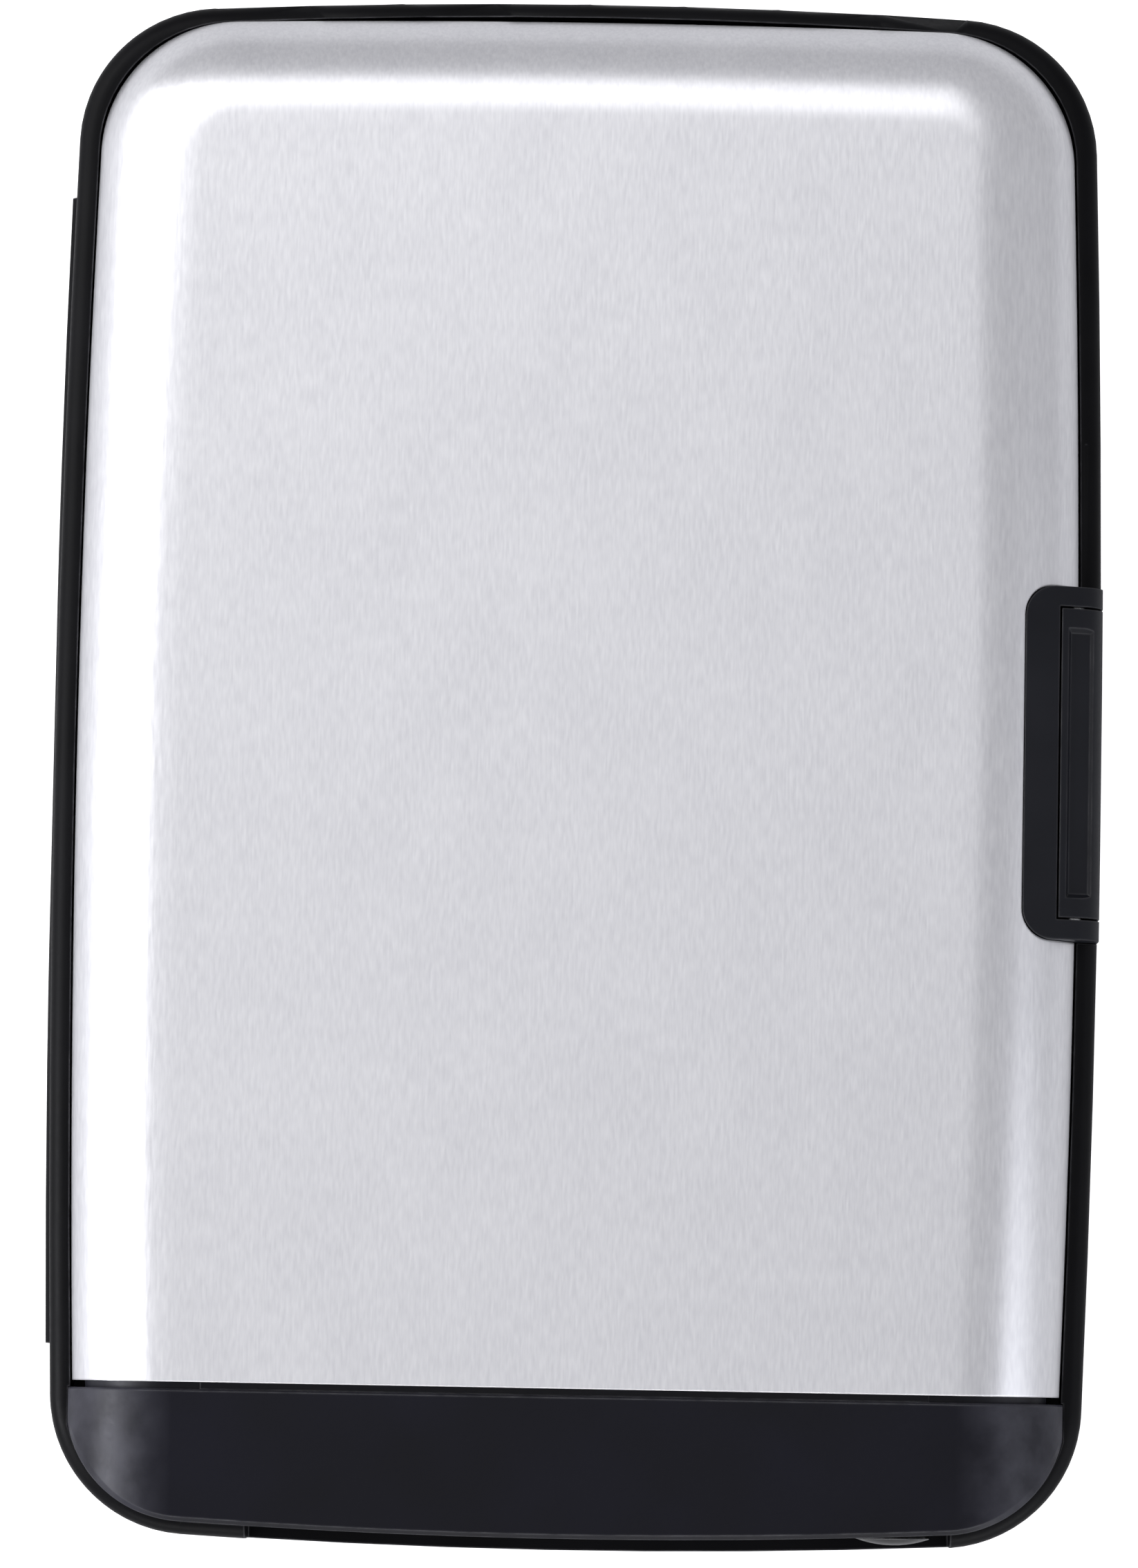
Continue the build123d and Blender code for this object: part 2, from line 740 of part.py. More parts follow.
def screw(x, y, head_z):
    """Small screw driven upwards, with its head's underside facing up at head_z."""
    with BuildPart() as body:
        add(post(x, y, screw_head_radius, head_z - screw_head_height, head_z))
        add(post(x, y, screw_radius - running_clearance, head_z, head_z + thread_length))
        with BuildSketch(Plane.XY.offset(head_z - screw_head_height)):
            with Locations((x, y)):
                RegularPolygon(screw_recess_radius, hex_sides)
        extrude(amount=screw_head_height / 2, mode=Mode.SUBTRACT)
    return body.part


with BuildPart() as cover_screws:
    for side in (-1, 1):
        add(screw(side * cover_screw_x, screw_y, ledge_height + screw_head_height))

with BuildPart() as board_screws:
    for side in (-1, 1):
        add(screw(side * board_screw_x, screw_y, board_low))

# Battery, tapes and leads
battery_top = shell_inner_top - tape_thickness
battery_thickness = battery_top - cover_top - battery_floor_gap
battery_half_width = half_width - battery_side_inset
battery_low_y = board_high_y + battery_board_gap
battery_high_y = half_length - battery_far_inset
battery_length = battery_high_y - battery_low_y
battery_middle_y = (battery_low_y + battery_high_y) / 2

with BuildPart() as battery_cell:
    with BuildSketch(Plane.XY.offset(battery_top - battery_thickness)):
        with Locations((0, battery_middle_y)):
            RectangleRounded(2 * battery_half_width, battery_length, battery_corner)
    extrude(amount=battery_thickness)
    chamfer(battery_cell.faces().filter_by(Axis.Z).edges(), battery_chamfer)

with BuildPart() as battery_tape:
    add(bar(tape_margin - battery_half_width, battery_half_width - tape_margin,
            battery_low_y + tape_margin, battery_high_y - tape_margin, battery_top, shell_inner_top))

with BuildPart() as pocket_tape:
    add(bar(accordion_hinge_x + tape_margin, accordion_latch_x - accordion_corner,
            cut_y + tape_margin, -cut_y - tape_margin, sheet_thickness, accordion_low))

plug_x = lead_start_x + lead_spacing / 2 + lead_shift
plug_low_y = board_high_y - plug_depth
lead_height = board_top + plug_height / 2


def battery_lead(index):
    """One insulated lead from the cell's end to the plug, with two round bends."""
    start_x = lead_start_x + lead_spacing * index
    turn_share = lead_turn_shares[index]
    turn_y = battery_low_y + (board_high_y - battery_low_y) * turn_share
    with BuildPart() as lead:
        with BuildLine() as route:
            FilletPolyline((start_x, battery_low_y, lead_height), (start_x, turn_y, lead_height),
                           (start_x + lead_shift, turn_y, lead_height),
                           (start_x + lead_shift, board_high_y, lead_height), radius=lead_bend)
        with BuildSketch(Plane(origin=route.line @ 0, z_dir=route.line % 0)):
            RegularPolygon(lead_radius, lead_sides)
        sweep()
    return lead.part


# Circuit board and what stands on it
switch_front_y = board_low_y + switch_setback
usb_mouth_y = wall_y(usb_x - usb_width / 2) + port_setback
usb_back_y = usb_mouth_y + usb_depth
micro_mouth_y = wall_y(micro_x + micro_width / 2) + port_setback
micro_back_y = micro_mouth_y + micro_depth

with BuildPart() as circuit_board:
    with BuildSketch(Plane.XY.offset(board_low)):
        with Locations((0, (board_low_y + board_high_y) / 2)):
            RectangleRounded(2 * board_half_width, board_high_y - board_low_y, board_corner)
    extrude(amount=board_thickness)
    add(bar(usb_x - usb_width / 2 - port_clearance, usb_x + usb_width / 2 + port_clearance,
            board_low_y - cut_overrun, usb_back_y + port_clearance, board_low - cut_overrun,
            board_top + cut_overrun), mode=Mode.SUBTRACT)
    add(bar(power_x - power_flange_radius - port_clearance, board_half_width + cut_overrun,
            board_low_y - cut_overrun, switch_front_y, board_low - cut_overrun,
            board_top + cut_overrun), mode=Mode.SUBTRACT)
    for side in (-1, 1):
        add(post(side * board_screw_x, screw_y, screw_radius + running_clearance,
                 board_low - cut_overrun, board_top + cut_overrun), mode=Mode.SUBTRACT)

with BuildPart() as usb_a_shell:
    with BuildSketch(Plane.XZ.offset(-usb_back_y)):
        with Locations((usb_x, port_height)):
            RectangleRounded(usb_width, usb_height, usb_radius)
    extrude(amount=usb_depth)
    with BuildSketch(Plane.XZ.offset(usb_sheet - usb_back_y)):
        with Locations((usb_x, port_height)):
            RectangleRounded(usb_width - 2 * usb_sheet, usb_height - 2 * usb_sheet,
                             usb_radius - usb_sheet)
    extrude(amount=usb_depth, mode=Mode.SUBTRACT)

tongue_low_z = port_height + usb_tongue_lift - usb_tongue_thickness / 2
usb_tongue_half = usb_width / 2 - usb_tongue_margin
micro_tongue_half = micro_width / 2 - micro_tongue_margin

with BuildPart() as usb_a_tongue:
    add(bar(usb_x - usb_tongue_half, usb_x + usb_tongue_half,
            usb_mouth_y + usb_tongue_setback, usb_back_y - usb_sheet, tongue_low_z,
            tongue_low_z + usb_tongue_thickness))

with BuildPart() as usb_a_contacts:
    for index in range(usb_contact_count):
        x = usb_x + usb_contact_pitch * (index - (usb_contact_count - 1) / 2)
        add(bar(x - usb_contact_width / 2, x + usb_contact_width / 2,
                usb_mouth_y + 2 * usb_tongue_setback, usb_back_y - usb_sheet,
                tongue_low_z - usb_contact_thickness, tongue_low_z))


def micro_section(inset):
    """Micro socket's mouth, with its two lower corners bevelled."""
    half = micro_width / 2
    with BuildSketch(Plane.XZ) as section:
        with BuildLine():
            Polyline((micro_x - half, port_height + micro_height / 2),
                     (micro_x + half, port_height + micro_height / 2),
                     (micro_x + half, port_height),
                     (micro_x + half - micro_bevel, port_height - micro_height / 2),
                     (micro_x - half + micro_bevel, port_height - micro_height / 2),
                     (micro_x - half, port_height), close=True)
        make_face()
        if inset:
            offset(amount=-inset, mode=Mode.REPLACE)
    return section.sketch


with BuildPart() as micro_usb_shell:
    with BuildSketch(Plane.XZ.offset(-micro_back_y)):
        add(micro_section(0))
    extrude(amount=micro_depth)
    with BuildSketch(Plane.XZ.offset(micro_sheet - micro_back_y)):
        add(micro_section(micro_sheet))
    extrude(amount=micro_depth, mode=Mode.SUBTRACT)

with BuildPart() as micro_usb_tongue:
    add(bar(micro_x - micro_tongue_half, micro_x + micro_tongue_half,
            micro_mouth_y + port_setback * 2, micro_back_y - micro_sheet,
            port_height, port_height + micro_tongue_thickness))

led_y = board_low_y + led_size
pipe_back_y = board_low_y - seat_clearance

with BuildPart() as charge_leds:
    for x in led_places:
        add(bar(x - led_size / 2, x + led_size / 2, led_y - led_size / 2, led_y + led_size / 2,
                board_top, board_top + led_height))

with BuildPart() as light_pipes:
    add(bar(led_places[0] - pipe_radius, led_places[-1] + pipe_radius,
            pipe_back_y - pipe_bar_thickness, pipe_back_y, port_height - pipe_bar_height / 2,
            port_height + pipe_bar_height / 2))
    for x in led_places:
        add(rod(x, port_height, pipe_radius, wall_y(x), pipe_back_y))

flange_y = wall_y(power_x + power_flange_radius) + cap_wall + 2 * button_clearance
power_tip_y = wall_y(power_x) - power_proud
stem_end_y = switch_front_y - power_travel - running_clearance
crown_radius = (power_radius ** 2 + power_crown ** 2) / (2 * power_crown)
crown_half = crown_radius - (crown_radius ** 2 - (power_radius / 2) ** 2) ** 0.5

with BuildPart() as power_button:
    with BuildSketch(Plane.XY.offset(port_height)):
        with BuildLine():
            ThreePointArc((power_x, power_tip_y),
                          (power_x + power_radius / 2, power_tip_y + crown_half),
                          (power_x + power_radius, power_tip_y + power_crown))
            Polyline((power_x + power_radius, power_tip_y + power_crown),
                     (power_x + power_radius, flange_y),
                     (power_x + power_flange_radius, flange_y),
                     (power_x + power_flange_radius, flange_y + power_flange_thickness),
                     (power_x + power_stem_radius, flange_y + power_flange_thickness),
                     (power_x + power_stem_radius, stem_end_y),
                     (power_x, stem_end_y), (power_x, power_tip_y))
        make_face()
    revolve(axis=Axis((power_x, 0, port_height), (0, 1, 0)))

with BuildPart() as power_switch:
    add(bar(power_x - switch_width / 2, power_x + switch_width / 2, switch_front_y,
            switch_front_y + switch_depth, board_top, board_top + switch_height))

with BuildPart() as battery_plug:
    add(bar(plug_x - plug_width / 2, plug_x + plug_width / 2, plug_low_y, board_high_y,
            board_top, board_top + plug_height))

chip_y = board_low_y + chip_setback
coil_x = usb_x + (usb_width + coil_size) / 2 + coil_gap
coil_y = board_low_y + coil_setback
capacitor_x = micro_x + micro_width / 2 + capacitor_gap
capacitor_y = board_low_y + capacitor_setback

with BuildPart() as controller_chip:
    add(bar(chip_x - chip_size / 2, chip_x + chip_size / 2, chip_y - chip_size / 2,
            chip_y + chip_size / 2, board_top, board_top + chip_height))

with BuildPart() as inductor:
    with BuildSketch(Plane.XY.offset(board_top)):
        with Locations((coil_x, coil_y)):
            RectangleRounded(coil_size, coil_size, coil_corner)
    extrude(amount=coil_height)

with BuildPart() as capacitors:
    for index in range(capacitor_count):
        x = capacitor_x + capacitor_pitch * index
        add(bar(x - capacitor_length / 2, x + capacitor_length / 2,
                capacitor_y - capacitor_width / 2, capacitor_y + capacitor_width / 2,
                board_top, board_top + capacitor_width))

# Every piece is one node, under its own name
named = {
    "rear_shell": rear_shell.part, "rear_end_cap": rear_end_cap.part, "rear_frame": rear_frame.part,
    "catch_block": catch_block.part, "pocket_tape": pocket_tape.part,
    "accordion_back_sheet": pocket_sheet(0, False), "hinge_pin": hinge_pin.part,
    "pleats_top": pleats_top.part, "pleats_bottom": pleats_bottom.part,
    "spine_folds": spine_folds.part, "front_shell": front_shell.part,
    "front_end_cap": front_end_cap.part, "front_frame": front_frame.part,
    "latch_bezel": latch_bezel.part, "latch_pin": latch_pin.part,
    "latch_leaf_spring": latch_leaf_spring.part, "battery_cover": battery_cover.part,
    "cover_screws": cover_screws.part, "battery_cell": battery_cell.part,
    "battery_tape": battery_tape.part, "battery_lead_red": battery_lead(0),
    "battery_lead_black": battery_lead(1), "battery_plug": battery_plug.part,
    "circuit_board": circuit_board.part, "board_screws": board_screws.part,
    "usb_a_shell": usb_a_shell.part, "usb_a_tongue": usb_a_tongue.part,
    "usb_a_contacts": usb_a_contacts.part, "micro_usb_shell": micro_usb_shell.part,
    "micro_usb_tongue": micro_usb_tongue.part, "charge_leds": charge_leds.part,
    "light_pipes": light_pipes.part, "power_switch": power_switch.part,
    "controller_chip": controller_chip.part, "inductor": inductor.part,
    "capacitors": capacitors.part, "accordion_front_sheet": pocket_sheet(pocket_count, False),
    "latch_button": latch_button.part, "power_button": power_button.part,
}
for index in range(1, pocket_count):
    named[f"divider_{index}"] = pocket_sheet(index, True)

for name, piece in named.items():
    piece.label = name
    export_step(piece, f"parts/{name}.step")
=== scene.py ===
import json
import math

import bmesh
import bpy
from mathutils import Matrix, Vector


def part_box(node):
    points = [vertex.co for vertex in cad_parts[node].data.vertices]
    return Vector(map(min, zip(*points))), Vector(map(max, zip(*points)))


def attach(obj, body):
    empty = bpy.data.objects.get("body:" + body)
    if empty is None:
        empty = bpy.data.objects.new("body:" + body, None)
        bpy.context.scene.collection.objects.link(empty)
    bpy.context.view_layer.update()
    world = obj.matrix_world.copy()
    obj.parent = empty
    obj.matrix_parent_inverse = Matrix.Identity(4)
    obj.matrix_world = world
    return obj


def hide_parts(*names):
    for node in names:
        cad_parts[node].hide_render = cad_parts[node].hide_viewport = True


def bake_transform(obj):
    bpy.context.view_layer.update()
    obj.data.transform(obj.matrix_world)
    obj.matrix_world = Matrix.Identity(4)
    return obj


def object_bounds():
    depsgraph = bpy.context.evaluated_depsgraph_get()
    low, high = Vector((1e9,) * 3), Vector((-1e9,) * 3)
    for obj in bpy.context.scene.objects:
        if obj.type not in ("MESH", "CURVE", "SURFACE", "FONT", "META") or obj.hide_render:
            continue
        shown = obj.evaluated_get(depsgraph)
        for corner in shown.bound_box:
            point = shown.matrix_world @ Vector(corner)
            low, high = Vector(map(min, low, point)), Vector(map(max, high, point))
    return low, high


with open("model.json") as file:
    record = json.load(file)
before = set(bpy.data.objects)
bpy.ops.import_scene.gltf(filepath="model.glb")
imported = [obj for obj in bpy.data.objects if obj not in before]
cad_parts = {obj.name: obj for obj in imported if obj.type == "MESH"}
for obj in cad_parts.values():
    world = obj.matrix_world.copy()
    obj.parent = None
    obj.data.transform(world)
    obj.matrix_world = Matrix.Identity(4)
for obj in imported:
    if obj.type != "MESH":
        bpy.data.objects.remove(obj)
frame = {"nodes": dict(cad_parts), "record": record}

cad_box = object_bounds()
nodes = frame["nodes"]
MM = 0.001

# Camera, whose place and turn fit the outline in the photo, with angles in radians
PHOTO_HEIGHT = 2268
FOCAL_PIXELS = 10664
SENSOR = 36
NEAR_CLIP = 0.01
CAMERA_PLACE = Vector((7.15, -45.45, 550.3)) * MM
CAMERA_TILT = 0.0836
CAMERA_LEAN = 0.0129
CAMERA_ROLL = 0.0183


def make_camera():
    """Camera with the sensor's long side along the photo's height, turned from straight down."""
    data = bpy.data.cameras.new("camera")
    data.sensor_width = SENSOR
    data.lens = FOCAL_PIXELS * SENSOR / PHOTO_HEIGHT
    data.clip_start = NEAR_CLIP
    camera = bpy.data.objects.new("camera", data)
    turn = (Matrix.Rotation(CAMERA_ROLL, 4, "Z") @ Matrix.Rotation(CAMERA_LEAN, 4, "Y")
            @ Matrix.Rotation(CAMERA_TILT, 4, "X"))
    camera.matrix_world = Matrix.Translation(CAMERA_PLACE) @ turn
    bpy.context.collection.objects.link(camera)
    return camera


bpy.context.scene.camera = make_camera()
bpy.context.scene.view_settings.view_transform = "Standard"


# Light
LAMP_TARGET = Vector((0, 0, 0.02))
COOL_WHITE = (0.93, 0.94, 1)
PALE_BLUE = (0.93, 0.95, 1)
WORLD_COLOUR = (0.50, 0.50, 0.515, 1)
SEEN_WHITE = (1, 1, 1, 1)


def soft_box(name, place, size, radiance, colour=(1, 1, 1)):
    """Rectangular lamp at place that faces the wallet, with its long side level."""
    lamp = bpy.data.lights.new(name, "AREA")
    lamp.shape = "RECTANGLE"
    lamp.color = colour
    lamp.size, lamp.size_y = size
    lamp.energy = radiance * math.pi * size[0] * size[1]
    holder = bpy.data.objects.new(name, lamp)
    holder.location = place
    holder.rotation_mode = "QUATERNION"
    holder.rotation_quaternion = (LAMP_TARGET - Vector(place)).to_track_quat("-Z", "Y")
    holder.visible_camera = False
    bpy.context.collection.objects.link(holder)


def make_world():
    """Grey surround that the camera itself sees as plain white."""
    world = bpy.data.worlds.new("studio")
    world.use_nodes = True
    tree = world.node_tree
    surround = tree.nodes["Background"]
    surround.inputs["Color"].default_value = WORLD_COLOUR
    seen = tree.nodes.new("ShaderNodeBackground")
    seen.inputs["Color"].default_value = SEEN_WHITE
    mix = tree.nodes.new("ShaderNodeMixShader")
    path = tree.nodes.new("ShaderNodeLightPath")
    tree.links.new(path.outputs["Is Camera Ray"], mix.inputs["Fac"])
    tree.links.new(surround.outputs[0], mix.inputs[1])
    tree.links.new(seen.outputs[0], mix.inputs[2])
    tree.links.new(mix.outputs[0], tree.nodes["World Output"].inputs["Surface"])
    return world


soft_box("left_box", (-0.46, 0.02, 0.27), (0.9, 0.48), 1.7)
soft_box("left_lower_box", (-0.36, -0.08, 0.17), (0.12, 0.12), 9.0, COOL_WHITE)
soft_box("left_far_box", (-0.36, 0.34, 0.50), (0.3, 0.3), 1.6)
soft_box("far_box", (-0.10, 0.45, 0.70), (0.62, 0.42), 1.0)
soft_box("overhead_box", (-0.16, 0.06, 1.05), (0.5, 0.5), 0.35)
soft_box("right_box", (0.42, -0.30, 0.22), (0.58, 0.44), 1.15, PALE_BLUE)
soft_box("front_strip", (0.05, -0.62, 0.15), (1.0, 0.12), 5.0)
bpy.context.scene.world = make_world()


# Floor
FLOOR_HALF = 4.0
FLOOR_DROP = 0.0001
FLOOR_GLOW = 0.85
PAPER_COLOUR = (0.62, 0.62, 0.625, 1)
PAPER_ROUGHNESS = 0.9
PAPER_SPECULAR = 0.1


def paper_material():
    """Matt paper that also glows, but only towards the camera, straight or through clear pieces."""
    material = bpy.data.materials.new("paper")
    material.use_nodes = True
    tree = material.node_tree
    paper = tree.nodes["Principled BSDF"]
    paper.inputs["Base Color"].default_value = PAPER_COLOUR
    paper.inputs["Roughness"].default_value = PAPER_ROUGHNESS
    paper.inputs["Specular IOR Level"].default_value = PAPER_SPECULAR
    glow = tree.nodes.new("ShaderNodeEmission")
    glow.inputs["Strength"].default_value = FLOOR_GLOW
    path = tree.nodes.new("ShaderNodeLightPath")
    any_view = tree.nodes.new("ShaderNodeMath")
    any_view.operation = "MAXIMUM"
    tree.links.new(path.outputs["Is Camera Ray"], any_view.inputs[0])
    tree.links.new(path.outputs["Is Transmission Ray"], any_view.inputs[1])
    lit = tree.nodes.new("ShaderNodeMixShader")
    both = tree.nodes.new("ShaderNodeAddShader")
    tree.links.new(paper.outputs[0], both.inputs[0])
    tree.links.new(glow.outputs[0], both.inputs[1])
    tree.links.new(any_view.outputs[0], lit.inputs["Fac"])
    tree.links.new(paper.outputs[0], lit.inputs[1])
    tree.links.new(both.outputs[0], lit.inputs[2])
    tree.links.new(lit.outputs[0], tree.nodes["Material Output"].inputs["Surface"])
    return material


def make_floor():
    """Square sheet of paper, a hair below the wallet."""
    mesh = bpy.data.meshes.new("floor")
    corners = [(-1, -1), (1, -1), (1, 1), (-1, 1)]
    places = [(x * FLOOR_HALF, y * FLOOR_HALF, -FLOOR_DROP) for x, y in corners]
    mesh.from_pydata(places, [], [range(len(corners))])
    mesh.materials.append(paper_material())
    floor = bpy.data.objects.new("floor", mesh)
    bpy.context.collection.objects.link(floor)


make_floor()


# Materials, with their grain and eased edges in millimetres
NOISE_LOW = 0.3
NOISE_HIGH = 0.7
BEVEL_SAMPLES = 4
METAL_EASE = 0.2
PLASTIC_EASE = 0.18
BROAD_GRAIN = 9.0
EDGE_HIGHLIGHT_AND_WEAR_GRAIN = 1.5
SIDE_HIGHLIGHT_GRAIN = 2.5
HIGHLIGHT_AND_WEAR_LEAST = 0.3

# Cosine of the turn of an eased normal, where the painted edge highlight, which also stands for edge wear,
# is full and where it ends
EDGE_HIGHLIGHT_AND_WEAR_FULL = 0.86
EDGE_HIGHLIGHT_AND_WEAR_NONE = 0.995

# Flecks and clouds of brushed metal, set against its streaks
FLECK_WIDTHS = 2
FLECK_SHORTENING = 3
FLECK_LOW = 0.25
FLECK_HIGH = 0.75
CLOUD_WIDTHS = 40
CLOUD_DRAW = 2
BRUSHED_ANISOTROPY = 0.1

# Sockets of the mix node, which has one set for numbers and one for colours
MIX_SHARE = 0
FIRST_NUMBER = 2
SECOND_NUMBER = 3
FIRST_COLOUR = 6
SECOND_COLOUR = 7
MIXED_COLOUR = 2


class Finish:
    """Node material whose textures are set in millimetres of the wallet's own frame."""

    def __init__(self, name, roughness, ease, metallic=0.0, specular=0.5):
        self.material = bpy.data.materials.new(name)
        self.material.use_nodes = True
        self.tree = self.material.node_tree
        self.surface = self.tree.nodes["Principled BSDF"]
        self.place = self.tree.nodes.new("ShaderNodeTexCoord").outputs["Object"]
        self.surface.inputs["Roughness"].default_value = sum(roughness) / 2
        self.surface.inputs["Metallic"].default_value = metallic
        self.surface.inputs["Specular IOR Level"].default_value = specular
        eased = self.tree.nodes.new("ShaderNodeBevel")
        eased.samples = BEVEL_SAMPLES
        eased.inputs["Radius"].default_value = ease * MM
        self.eased = eased.outputs[0]

    def link(self, output, socket):
        self.tree.links.new(output, socket)

    def noise(self, grain, stretch=(1, 1, 1), detail=2.0):
        """Noise with features about grain millimetres wide, drawn out by stretch."""
        mapping = self.tree.nodes.new("ShaderNodeMapping")
        mapping.inputs["Scale"].default_value = [1 / (grain * MM * share) for share in stretch]
        texture = self.tree.nodes.new("ShaderNodeTexNoise")
        texture.inputs["Scale"].default_value = 1.0
        texture.inputs["Detail"].default_value = detail
        self.link(self.place, mapping.inputs["Vector"])
        self.link(mapping.outputs[0], texture.inputs["Vector"])
        return texture.outputs["Fac"]

    def spread(self, value, low, high, start=NOISE_LOW, end=NOISE_HIGH):
        """Value from start to end, the usual range of noise, carried to low and high."""
        ramp = self.tree.nodes.new("ShaderNodeMapRange")
        ramp.inputs["From Min"].default_value = start
        ramp.inputs["From Max"].default_value = end
        ramp.inputs["To Min"].default_value = low
        ramp.inputs["To Max"].default_value = high
        self.link(value, ramp.inputs["Value"])
        return ramp.outputs["Result"]

    def blend(self, first, second, share):
        """Mean of two values, with the given share of second."""
        mix = self.tree.nodes.new("ShaderNodeMix")
        mix.inputs[MIX_SHARE].default_value = share
        self.link(first, mix.inputs[FIRST_NUMBER])
        self.link(second, mix.inputs[SECOND_NUMBER])
        return mix.outputs[0]

    def colour(self, value, first, second):
        """Base colour between first and second, by value."""
        mix = self.tree.nodes.new("ShaderNodeMix")
        mix.data_type = "RGBA"
        mix.inputs[FIRST_COLOUR].default_value = (*first, 1)
        mix.inputs[SECOND_COLOUR].default_value = (*second, 1)
        self.link(self.spread(value, 0, 1), mix.inputs[MIX_SHARE])
        self.link(mix.outputs[MIXED_COLOUR], self.surface.inputs["Base Color"])

    def roughen(self, value, roughness):
        """Roughness between its two limits, by value."""
        self.link(self.spread(value, *roughness), self.surface.inputs["Roughness"])

    def bump(self, value, height):
        """Relief of the given height in millimetres over the eased edges."""
        relief = self.tree.nodes.new("ShaderNodeBump")
        relief.inputs["Distance"].default_value = height * MM
        self.link(value, relief.inputs["Height"])
        self.link(self.eased, relief.inputs["Normal"])
        self.link(relief.outputs[0], self.surface.inputs["Normal"])

    def paint_highlight_and_wear(self, amount, grain, highlight_and_wear_colour):
        """Base colour lightened towards the given colour by amount, unevenly over patches of grain
        millimetres: a painted highlight, on edges also standing for wear.
        """
        highlight_and_wear_share = self.tree.nodes.new("ShaderNodeMath")
        highlight_and_wear_share.operation = "MULTIPLY"
        self.link(amount, highlight_and_wear_share.inputs[0])
        self.link(self.spread(self.noise(grain, detail=4.0), HIGHLIGHT_AND_WEAR_LEAST, 1), highlight_and_wear_share.inputs[1])
        base = self.surface.inputs["Base Color"]
        mix = self.tree.nodes.new("ShaderNodeMix")
        mix.data_type = "RGBA"
        self.link(base.links[0].from_socket, mix.inputs[FIRST_COLOUR])
        mix.inputs[SECOND_COLOUR].default_value = (*highlight_and_wear_colour, 1)
        self.link(highlight_and_wear_share.outputs[0], mix.inputs[MIX_SHARE])
        self.link(mix.outputs[MIXED_COLOUR], base)

    def paint_edge_highlight_and_wear(self, highlight_and_wear_colour):
        """Painted highlight along the eased edges, standing in part for edge wear: base colour lightened to
        the given colour.
        """
        plain = self.tree.nodes.new("ShaderNodeNewGeometry")
        bend = self.tree.nodes.new("ShaderNodeVectorMath")
        bend.operation = "DOT_PRODUCT"
        self.link(self.eased, bend.inputs[0])
        self.link(plain.outputs["Normal"], bend.inputs[1])
        self.paint_highlight_and_wear(self.spread(bend.outputs["Value"], 1, 0, EDGE_HIGHLIGHT_AND_WEAR_FULL, EDGE_HIGHLIGHT_AND_WEAR_NONE), EDGE_HIGHLIGHT_AND_WEAR_GRAIN, highlight_and_wear_colour)

    def paint_side_highlight(self, start, end, highlight_and_wear_colour):
        """Painted highlight where the sides roll down, from start to end across X: base colour lightened
        unevenly to the given colour.
        """
        split = self.tree.nodes.new("ShaderNodeSeparateXYZ")
        self.link(self.place, split.inputs[0])
        across = self.tree.nodes.new("ShaderNodeMath")
        across.operation = "ABSOLUTE"
        self.link(split.outputs["X"], across.inputs[0])
        self.paint_highlight_and_wear(self.spread(across.outputs[0], 0, 1, start, end), SIDE_HIGHLIGHT_GRAIN, highlight_and_wear_colour)

    def brush_across(self):
        """Highlights that spread across the brushed lines."""
        self.surface.inputs["Anisotropic"].default_value = BRUSHED_ANISOTROPY
        across = self.tree.nodes.new("ShaderNodeCombineXYZ")
        across.inputs["X"].default_value = 1.0
        self.link(across.outputs[0], self.surface.inputs["Tangent"])


def brushed_metal(name, dark, light, roughness, grain=0.12, draw=16, height=0.003, highlight_and_wear_colour=None):
    """Metal brushed along Y: fine streaks, short flecks and soft clouds."""
    finish = Finish(name, roughness, METAL_EASE, metallic=1.0)
    streaks = finish.noise(grain, (1, draw, 1), detail=3.0)
    fleck_noise = finish.noise(grain * FLECK_WIDTHS, (1, draw / FLECK_SHORTENING, 1), detail=1.0)
    flecks = finish.spread(fleck_noise, 0, 1, FLECK_LOW, FLECK_HIGH)
    clouds = finish.noise(grain * CLOUD_WIDTHS, (1, CLOUD_DRAW, 1), detail=6.0)
    cloudy_streaks = finish.blend(streaks, clouds, share=0.5)
    finish.colour(finish.blend(cloudy_streaks, flecks, share=0.33), dark, light)
    finish.roughen(streaks, roughness)
    finish.bump(finish.blend(streaks, flecks, share=0.5), height)
    if highlight_and_wear_colour:
        finish.paint_edge_highlight_and_wear(highlight_and_wear_colour)
    finish.brush_across()
    return finish


def moulded(name, dark, light, roughness, specular=0.2, grain=0.35, height=0.006, highlight_and_wear_colour=None):
    """Moulded plastic with a fine satin grain, and a painted highlight along its edges that stands in part
    for edge wear.
    """
    finish = Finish(name, roughness, PLASTIC_EASE, specular=specular)
    fine = finish.noise(grain, detail=3.0)
    broad = finish.noise(BROAD_GRAIN)
    finish.colour(broad, dark, light)
    finish.roughen(finish.blend(fine, broad, share=0.4), roughness)
    finish.bump(fine, height)
    if highlight_and_wear_colour:
        finish.paint_edge_highlight_and_wear(highlight_and_wear_colour)
    return finish


# Lighter edge colours: painted highlights along the edges, standing in part for edge wear
METAL_EDGE_HIGHLIGHT_AND_WEAR = (0.97, 0.97, 0.98)
BLACK_EDGE_HIGHLIGHT_AND_WEAR = (0.14, 0.14, 0.15)
LATCH_EDGE_HIGHLIGHT_AND_WEAR = (0.06, 0.06, 0.065)
BUTTON_EDGE_HIGHLIGHT_AND_WEAR = (0.02, 0.02, 0.022)
GLOSS_RIM_HIGHLIGHT = (0.28, 0.28, 0.29)
# Colour of the painted highlight on the cap's rolled sides
CAP_SIDE_HIGHLIGHT = (0.04, 0.04, 0.052)

